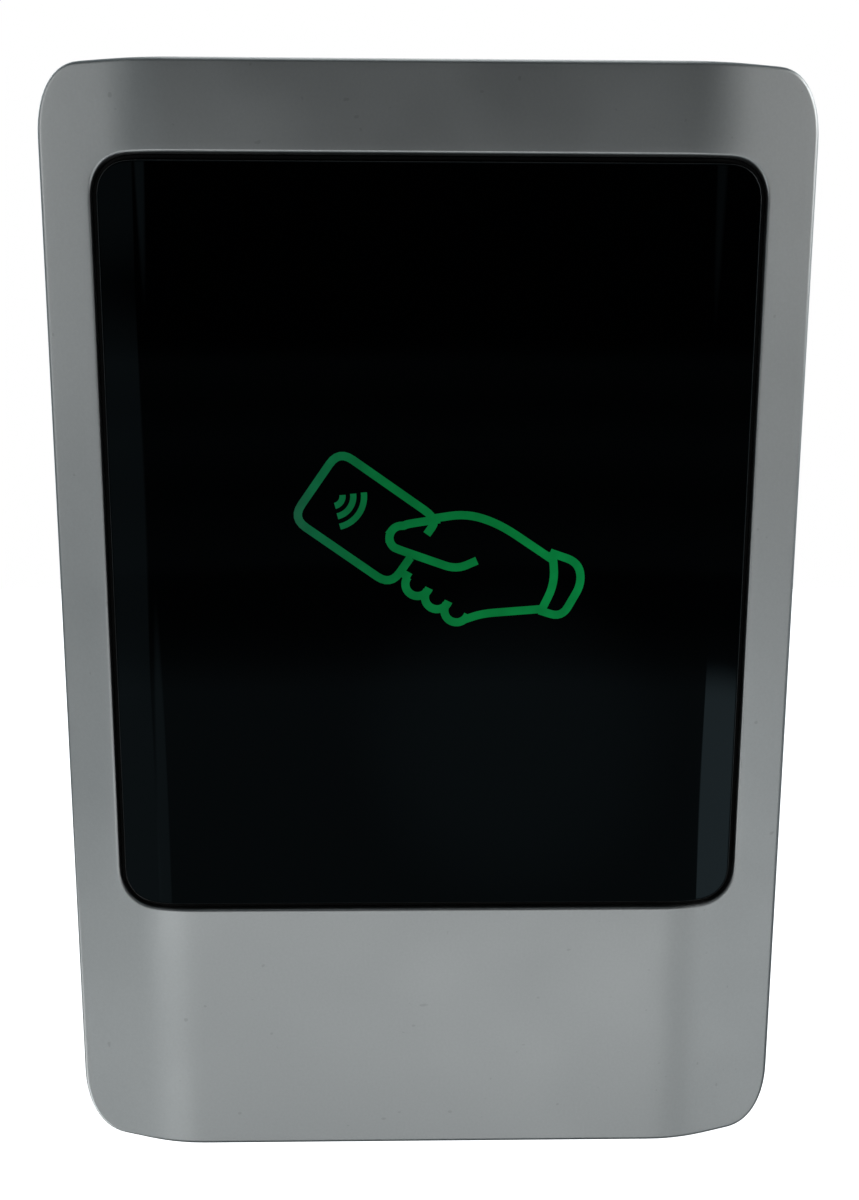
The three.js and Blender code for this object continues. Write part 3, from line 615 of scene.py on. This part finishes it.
def line_solid(path, width, front, back, closed=False):
    """A flat line of constant width along a path in the face, with square ends, as (verts, faces)."""
    count = len(path)
    soft = front + 0.08 * MM
    section = [(soft, 1), (front, 0.93), (front, -0.93), (soft, -1), (back, -1), (back, 1)]
    size = len(section)
    verts = []
    for i, point in enumerate(path):
        before = path[i - 1] if closed or i else point
        after = path[(i + 1) % count] if closed or i < count - 1 else point
        into, out = (point - before), (after - point)
        along = (into.normalized() + out.normalized()).normalized()
        mitre = 1 / max(0.5, along.dot((out if out.length else into).normalized()))
        across = Vector((-along.y, along.x)) * width / 2 * mitre
        for y, share in section:
            x, z = point + across * share
            verts.append((x, y, z))
    faces = []
    for i in range(count if closed else count - 1):
        faces += band(size * i, size * ((i + 1) % count), size)
    if not closed:
        faces += [tuple(reversed(range(size))), tuple(range(size * (count - 1), size * count))]
    return verts, faces


def in_mm(points):
    return [Vector(p) * MM for p in points]


def pictogram():
    """A tilted card held by a hand, drawn in lines of one width that stand a little proud of the panel."""
    low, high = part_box("card_pictogram")
    width = 2 * MM
    tilt = math.radians(-35)
    centre = Vector((-15.8, 31.3)) * MM

    def on_card(point):
        along, across = point
        x = along * math.cos(tilt) - across * math.sin(tilt)
        z = along * math.sin(tilt) + across * math.cos(tilt)
        return centre + Vector((x, z)) * MM

    half_l, half_w = 14.5, 10
    card = [
        (half_l, -1.5),
        (half_l, -half_w),
        (-half_l, -half_w),
        (-half_l, half_w),
        (half_l, half_w),
        (half_l, 5.5),
    ]
    paths = [rounded([on_card(p) for p in card], 4 * MM)]
    for tip in ((-3, 15.2), (1.8, 11.9), (6.6, 8.6)):
        paths.append(in_mm(arc(tip, 3, 145, 340, 18)))
    thumb = [(2.4, 31.2), (-5.6, 30), *arc((-6.9, 26.6), 3, 80, 240, 10), (6.5, 18.8), (11.5, 21)]
    paths += [
        rounded(in_mm([(1, 31.4), (9, 32.6), (17, 30), (30.4, 21)]), 5 * MM),
        rounded(in_mm(thumb), 3 * MM),
        in_mm([(-8, 18.6), (-4.8, 16.8)]),
        rounded(in_mm([(8.8, 6.4), (13, 7.8), (28.4, 9)]), 3 * MM),
        rounded(in_mm([(29.4, 23), (36.4, 20.6), (37.4, 15.4), (32.6, 6.8), (27, 8.6)]), 3 * MM),
        rounded(in_mm([(27.2, 7.9), (30.8, 15.4), (30, 23.2)]), 4 * MM),
    ]
    # Lines that cross lie at slightly different heights, so that no two faces share a plane.
    step = 0.012 * MM
    solids = [line_solid(path, width, low.y + i * step, high.y) for i, path in enumerate(paths)]
    hand = new_piece("hand_and_card", *together(*solids), "cover", "lit_green", "card_pictogram")
    waves = [[on_card(p) for p in arc((-9.5, 0), r, -42, 42, 14)] for r in (2.4, 5.0, 7.6)]
    solids = [line_solid(path, 1.5 * MM, low.y, high.y) for path in waves]
    return hand, new_piece("card_waves", *together(*solids), "cover", "lit_green")


PICTOGRAM = pictogram()

# ---- Base: housing, gland and plate ----


def housing():
    """The powder-coated tub: a flange with a soft edge, rolled corners and a flat back with bored holes."""
    front, flange_back, back = housing_low.y, housing_low.y + WALL, housing_high.y
    floor = back - WALL
    roll, inner_roll, edge = 3 * MM, 1.5 * MM, 0.5 * MM
    inner = HOUSING.grown(-WALL)
    turn = quarter(6)
    inside = [ring(inner.grown(-inner_roll * i), floor - inner_roll * d) for i, d in reversed(turn)]
    outside = [
        ring(inner, front),
        ring(FACE.grown(-edge), front),
        ring(FACE, front + edge),
        ring(FACE, flange_back - edge),
        ring(FACE.grown(-edge), flange_back),
        ring(HOUSING.grown(edge), flange_back),
        ring(HOUSING, flange_back + edge),
    ]
    outside += [ring(HOUSING.grown(-roll * i), back - roll * d) for i, d in turn]
    verts, faces = loft(inside + outside, cap_first=True, cap_last=True)
    lowest, highest = housing_low.z + MM, housing_low.z + 12 * MM
    cutters = []
    for node, r in (("gland_body", 10.3), ("lock_barrel", 9.3), ("vent_plug", 6.3)):
        x, y, _ = middle_of(node)
        cutters.append(rod((x, y, lowest), (x, y, highest), r * MM))
    for i in range(1, 5):
        x, _, z = middle_of(f"housing_screw_{i}")
        cutters.append(rod((x, floor - MM, z), (x, back + MM, z), 2.4 * MM))
    new_piece("housing_tub", verts, faces, "base", "dark_coat", "rear_housing", cutters=cutters)


def gland_dome():
    """The gland's clamping cap: a fluted grip over a domed nose, bored for the cable."""
    low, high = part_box("gland_cap")
    axis = middle_of("gland_cap")
    r = (high.x - low.x) / 2
    bore, throat = 6 * MM, 9.8 * MM
    top, shoulder = high.z, low.z + 9.5 * MM
    profile = [(shoulder - 2 * MM, r), (top - 0.6 * MM, r), (top, r - 0.6 * MM)]
    profile += [(top, throat), (shoulder, throat), (shoulder, bore), (low.z, bore), (low.z, 8.4 * MM)]
    nose_r, nose_z = 8.4 * MM, shoulder - 2 * MM
    for i in range(1, 7):
        turn = i / 6 * math.pi / 2
        profile.append((nose_z - (nose_z - low.z) * math.cos(turn), nose_r + (r - nose_r) * math.sin(turn)))
    sides = 96
    verts, faces = [], []
    for along, radius in profile[:-1]:
        for j in range(sides):
            turn = 2 * math.pi * j / sides
            flute = 0.5 * MM * max(0, math.cos(turn * 16)) if radius >= r - 0.7 * MM else 0
            out = radius - flute
            verts.append((axis.x + out * math.cos(turn), axis.y + out * math.sin(turn), along))
    count = len(profile) - 1
    for k in range(count):
        faces += band(k * sides, (k + 1) % count * sides, sides)
    new_piece("gland_dome", verts, faces, "base", "black_plastic", "gland_cap")


housing()
gland_dome()

# ---- Small electronics on the main board ----

# Chips, as (x, z, half width, half height) in millimetres.
PACKAGES = [
    (-40, 2, 7, 7),
    (-8, -22, 9, 6),
    (34, 34, 10, 10),
    (-30, 38, 6, 4),
    (8, 46, 8, 5),
    (52, 44, 4, 6),
]
BOARD_T = 1.6 * MM
LEG_PITCH = 1.27  # millimetres
PASSIVES_TRIED = 70


def is_taken(x, z):
    """Whether something larger stands at this place on the board, in millimetres."""
    taken = PACKAGES + TALL_PARTS
    return any(abs(x - px) < hx + 3 and abs(z - pz) < hz + 2.5 for px, pz, hx, hz in taken)


def chips():
    """Chips with legs and scattered tiny passives, on the board's rear side."""
    face_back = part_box("main_board")[0].y + BOARD_T
    body, legs, passives = [], [], []
    for x, z, half_x, half_z in PACKAGES:
        centre = Vector((x * MM, face_back, z * MM))
        body.append(block(centre, half_x * MM, half_z * MM, 0.1 * MM, 1.5 * MM, 0.2 * MM))
        for side in (-1, 1):
            count = int(2 * half_z / LEG_PITCH) - 1
            for i in range(count):
                along = (i - (count - 1) / 2) * LEG_PITCH
                at = centre + Vector((side * (half_x + 0.5), 0, along)) * MM
                legs.append(block(at, 0.6 * MM, 0.22 * MM, 0, 0.35 * MM, 0.05 * MM))
    placer = random.Random(7)
    for _ in range(PASSIVES_TRIED):
        x, z = placer.uniform(-58, 58), placer.uniform(-55, 56)
        if is_taken(x, z):
            continue
        at = Vector((x * MM, face_back, z * MM))
        lies_across = placer.random() < 0.5
        half_x, half_z = (0.8, 0.4) if lies_across else (0.4, 0.8)
        passives.append(block(at, half_x * MM, half_z * MM, 0, 0.5 * MM, 0.1 * MM))
    new_piece("board_chips", *together(*body), "cover", "black_plastic")
    new_piece("chip_legs", *together(*legs), "cover", "nickel")
    new_piece("board_passives", *together(*passives), "cover", "ferrite")


# What stands on the board already, as (x, z, half width, half height) in millimetres, with the screws.
TALL_PARTS = [
    (-3, 11, 19, 19),
    (-37, -22, 13, 8),
    (-20, 52, 20, 4),
    (6, -40, 17, 5),
    (39, -10, 15, 24),
    (-42, 22, 11, 11),
    (-28, -70, 20, 7),
    (22, -70, 9, 10),
    (-56, -74, 5, 5),
    (56, -74, 5, 5),
    (-56, 54, 5, 5),
    (56, 54, 5, 5),
]


def block(seat, half_x, half_z, lift, height, bevel):
    """A little moulded part with chamfered edges, standing back from its seat, as (verts, faces)."""
    verts = []
    for back, inset in ((0, 0), (height - bevel, 0), (height, bevel)):
        y = seat.y + lift + back
        for sx, sz in ((-1, -1), (1, -1), (1, 1), (-1, 1)):
            verts.append((seat.x + sx * (half_x - inset), y, seat.z + sz * (half_z - inset)))
    faces = [(3, 2, 1, 0), (8, 9, 10, 11)]
    for k in (0, 4):
        faces += band(k, k + 4, 4)
    return verts, faces


chips()

# ---- Everything else keeps the model's own shape, with small rounded edges ----

# Edge roundings in millimetres, where they differ from the usual one.
USUAL_BEVEL = 0.2
BEVEL = {"wall_plate": 0.5, "gland_nut": 0.5, "gland_body": 0.5, "lock_nut": 0.5, "vent_plug": 0.4}


def refined(node, slot, body):
    """A node's own shape with its flat faces cleaned up and its edges slightly rounded."""
    obj = bpy.data.objects.new(f"{node}_finish", frame["nodes"][node].data.copy())
    bpy.context.scene.collection.objects.link(obj)
    bm = bmesh.new()
    bm.from_mesh(obj.data)
    bmesh.ops.remove_doubles(bm, verts=bm.verts, dist=0.002 * MM)
    bmesh.ops.dissolve_limit(bm, angle_limit=math.radians(1), verts=bm.verts, edges=bm.edges)
    bm.to_mesh(obj.data)
    bm.free()
    bevel = obj.modifiers.new("edges", "BEVEL")
    bevel.width = BEVEL.get(node, USUAL_BEVEL) * MM
    bevel.segments = 2
    bevel.limit_method = "ANGLE"
    bevel.angle_limit = math.radians(38)
    apply_modifiers(obj)
    dress(obj, body, slot, node)


def remaining():
    """Dresses each node that no piece stands for yet."""
    slots = {part["node"]: part["material_slot"] for part in frame["record"]["subparts"]}
    bodies = {n: body for body, nodes in frame["record"]["behaviour"]["bodies"].items() for n in nodes}
    for node, obj in sorted(frame["nodes"].items()):
        if not obj.hide_render:
            refined(node, slots[node], bodies[node])


remaining()

# ---- Camera, light and backdrop ----


def camera():
    """A viewpoint close in, a little left of the middle and above it, looking slightly down."""
    yaw, pitch, roll = -0.020317, -0.186052, -0.003489
    turn = Matrix.Rotation(yaw, 3, "Z") @ Matrix.Rotation(pitch, 3, "X") @ Matrix.Rotation(roll, 3, "Y")
    right, forward, up = turn.col
    data = bpy.data.cameras.new("camera")
    data.sensor_width = 36
    data.lens = 37.98
    data.clip_start = 0.01
    obj = bpy.data.objects.new("camera", data)
    bpy.context.scene.collection.objects.link(obj)
    place = Matrix((right, up, -forward)).transposed().to_4x4()
    place.translation = Vector((-6.28 * MM, FACE_Y - 306.65 * MM, 68.8 * MM))
    obj.matrix_world = place
    bpy.context.scene.camera = obj


def towards(azimuth, elevation):
    """A direction away from the object. Azimuth 0 is in front of it, and 90 is to the viewer's right."""
    a, e = math.radians(azimuth), math.radians(elevation)
    return Vector((math.sin(a) * math.cos(e), -math.cos(a) * math.cos(e), math.sin(e)))


# Broad soft lights as (azimuth, elevation, strength). They don't reach the panel or the pictogram.
FRONT_LIGHTS = [
    (-90, -40, 0.6),
    (-30, -25, 0.27),
    (10, -25, 0.22),
    (50, -25, 0.20),
    (-10, -10, 0.055),
    (-70, 5, 0.195),
    (50, 5, 0.08),
    (-70, 20, 0.155),
    (90, 20, 0.84),
    (0, 80, 0.2),
]
REAR_LIGHTS = [(-140, 25, 0.45), (140, 25, 0.35), (180, 60, 0.45), (180, -40, 0.3)]

LIGHT_SPREAD = math.radians(30)
LIGHT_COLOUR = (0.985, 1.0, 1.0)


def soft_lights():
    """Wide sun lamps from all round, which spare the panel and the pictogram."""
    spared = bpy.data.collections.new("spared_by_soft_lights")
    for i, obj in enumerate([GLOSS_PANEL, *PICTOGRAM]):
        spared.objects.link(obj)
        spared.collection_objects[i].light_linking.link_state = "EXCLUDE"
    for i, (azimuth, elevation, strength) in enumerate(FRONT_LIGHTS + REAR_LIGHTS):
        lamp = bpy.data.lights.new(f"soft_light_{i + 1}", "SUN")
        lamp.angle = LIGHT_SPREAD
        lamp.energy = strength
        lamp.color = LIGHT_COLOUR
        obj = bpy.data.objects.new(lamp.name, lamp)
        bpy.context.scene.collection.objects.link(obj)
        obj.rotation_mode = "QUATERNION"
        obj.rotation_quaternion = towards(azimuth, elevation).to_track_quat("Z", "Y")
        obj.light_linking.receiver_collection = spared


# Faint glows of the room, which the panel mirrors: (azimuth, elevation, half width, edge, brightness).
ROOM_GLOWS = [
    (-52, 12, 6, 4, 0.06),
    (-52, -6, 6, 4, 0.07),
    (-52, -22, 6, 4, 0.06),
    (-33, 14, 8, 4, 0.09),
    (-33, -22, 8, 4, 0.08),
    (38, 12, 6, 5, 0.05),
    (52, -19, 4, 2, 0.34),
    (5, -17, 2, 6, 0.035),
    (0, 80, 22, 15, 0.06),
    (-120, 10, 20, 20, 0.12),
    (120, 10, 20, 20, 0.15),
    (180, 30, 50, 20, 0.10),
]
# The room by height, as (sine of the elevation, brightness): a dim floor, a darker band with a few strips,
# and a dark top.
ROOM_BANDS = [
    (-1.0, 0.06),
    (-0.25, 0.07),
    (-0.225, 0.03),
    (-0.198, 0.012),
    (-0.165, 0.010),
    (-0.155, 0.028),
    (-0.10, 0.012),
    (-0.06, 0.024),
    (-0.035, 0.012),
    (0.0, 0.022),
    (0.012, 0.003),
    (0.3, 0.003),
    (0.6, 0.02),
]


def studio():
    """White to the camera, and a dim room with a few glows for everything that it lights."""
    world = bpy.data.worlds.new("studio")
    bpy.context.scene.world = world
    world.use_nodes = True
    tree = world.node_tree
    links = tree.links
    place = add(tree, "ShaderNodeTexCoord")
    split = add(tree, "ShaderNodeSeparateXYZ")
    links.new(place.outputs["Generated"], split.inputs["Vector"])
    height = add(tree, "ShaderNodeMapRange", From_Min=-1.0, From_Max=1.0)
    links.new(split.outputs["Z"], height.inputs["Value"])
    total = ramp(tree, height.outputs["Result"], [((sine + 1) / 2, glow) for sine, glow in ROOM_BANDS])
    for azimuth, elevation, half, soft, strength in ROOM_GLOWS:
        dot = add(tree, "ShaderNodeVectorMath", operation="DOT_PRODUCT")
        dot.inputs[1].default_value = towards(azimuth, elevation)
        links.new(place.outputs["Generated"], dot.inputs[0])
        span = add(tree, "ShaderNodeMapRange", interpolation_type="SMOOTHSTEP", To_Max=strength)
        span.inputs["From Min"].default_value = math.cos(math.radians(half + soft))
        span.inputs["From Max"].default_value = math.cos(math.radians(half))
        links.new(dot.outputs["Value"], span.inputs["Value"])
        plus = add(tree, "ShaderNodeMath", operation="ADD")
        links.new(total, plus.inputs[0])
        links.new(span.outputs["Result"], plus.inputs[1])
        total = plus.outputs["Value"]
    light = tree.nodes["Background"]
    light.inputs["Color"].default_value = (0.6, 0.87, 1, 1)
    links.new(total, light.inputs["Strength"])
    seen = add(tree, "ShaderNodeBackground", Color=(1, 1, 1, 1))
    path = add(tree, "ShaderNodeLightPath")
    either = add(tree, "ShaderNodeMixShader")
    links.new(path.outputs["Is Camera Ray"], either.inputs["Fac"])
    links.new(light.outputs["Background"], either.inputs[1])
    links.new(seen.outputs["Background"], either.inputs[2])
    links.new(either.outputs["Shader"], tree.nodes["World Output"].inputs["Surface"])
    bpy.context.scene.view_settings.view_transform = "Standard"


def floor():
    """A pale floor well below the object. It starts behind the face, so that the panel doesn't mirror it."""
    material, tree, bsdf = shader("pale_floor", Roughness=0.9, Emission_Strength=0.95)
    tone = ramp(tree, noise(tree, 3), [(0.3, (0.99, 0.99, 0.99)), (0.7, (1.0, 1.0, 1.0))])
    tree.links.new(tone, bsdf.inputs["Base Color"])
    tree.links.new(tone, bsdf.inputs["Emission Color"])
    front, back, half, height = -100 * MM, 2.5, 2.5, -450 * MM
    mesh = bpy.data.meshes.new("floor")
    corners = [(-half, front, height), (half, front, height), (half, back, height), (-half, back, height)]
    mesh.from_pydata(corners, [], [(0, 1, 2, 3)])
    mesh.materials.append(material)
    obj = bpy.data.objects.new("floor", mesh)
    bpy.context.scene.collection.objects.link(obj)
    # It is there for the eye only: neither its light nor its mirror image reaches the object.
    obj.visible_diffuse = False
    obj.visible_glossy = False


camera()
soft_lights()
studio()
floor()
